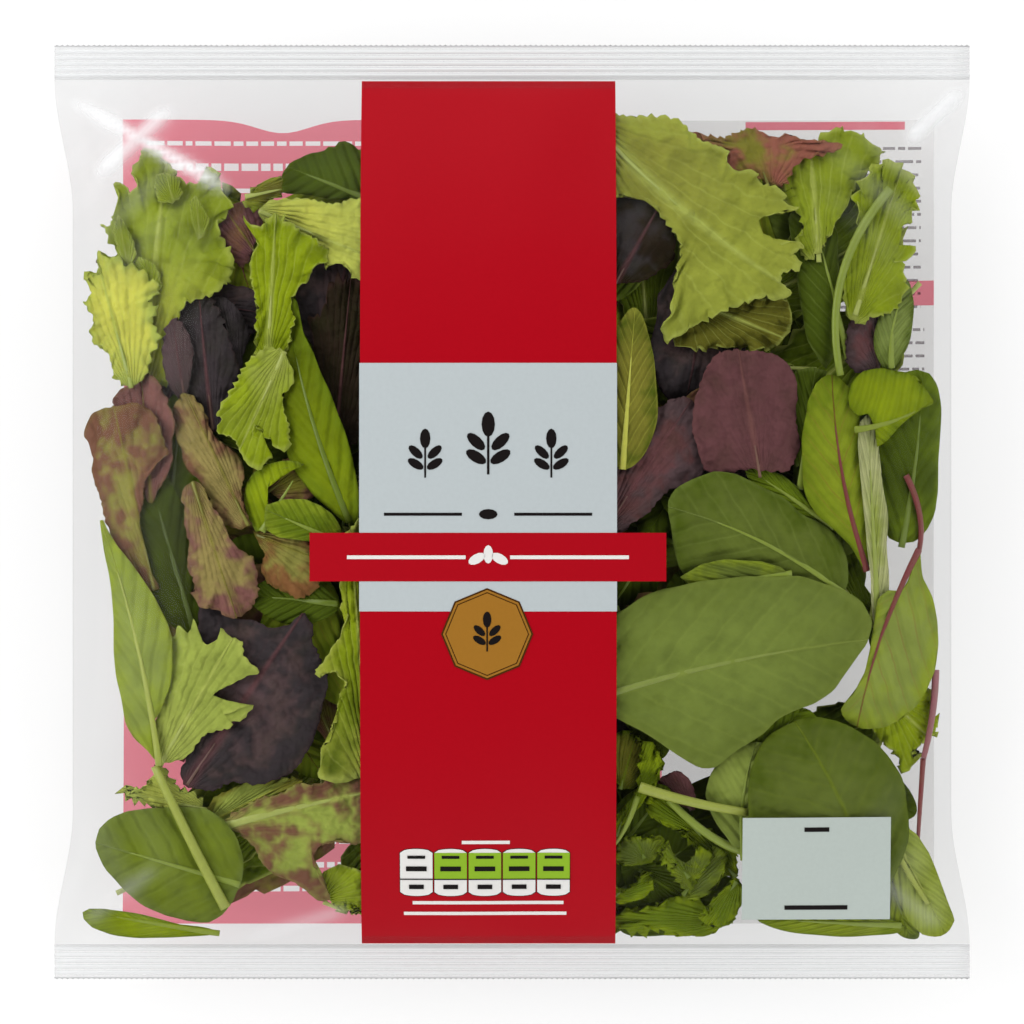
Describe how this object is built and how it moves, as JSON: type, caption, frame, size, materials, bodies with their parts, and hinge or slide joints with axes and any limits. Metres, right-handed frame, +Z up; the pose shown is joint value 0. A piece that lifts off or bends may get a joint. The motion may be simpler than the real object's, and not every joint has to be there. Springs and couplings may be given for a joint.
{
  "type": "bag of salad leaves",
  "caption": "Sealed clear pillow bag of mixed baby salad leaves, crimped shut at both ends, with a printed band down its front, lying on its back.",
  "frame": {"origin": "on the surface that the bag lies on, under the middle of the bag", "axes": "+X across the bag to the right of its printed front, +Y from the bottom seal to the top seal, +Z up out of the printed front"},
  "size_m": [0.25, 0.2554, 0.0523],
  "materials": {
    "bag": "clear glossy film with green leaves close behind it",
    "film": "clear glossy film with opaque printed fields",
    "spinach": "satin leaf",
    "green_lettuce": "satin leaf",
    "red_lettuce": "satin leaf",
    "purple_lettuce": "satin leaf",
    "chard": "satin leaf with a red midrib"
  },
  "bodies": {
    "root": {"bag": "bag"}
  },
  "joints": []
}
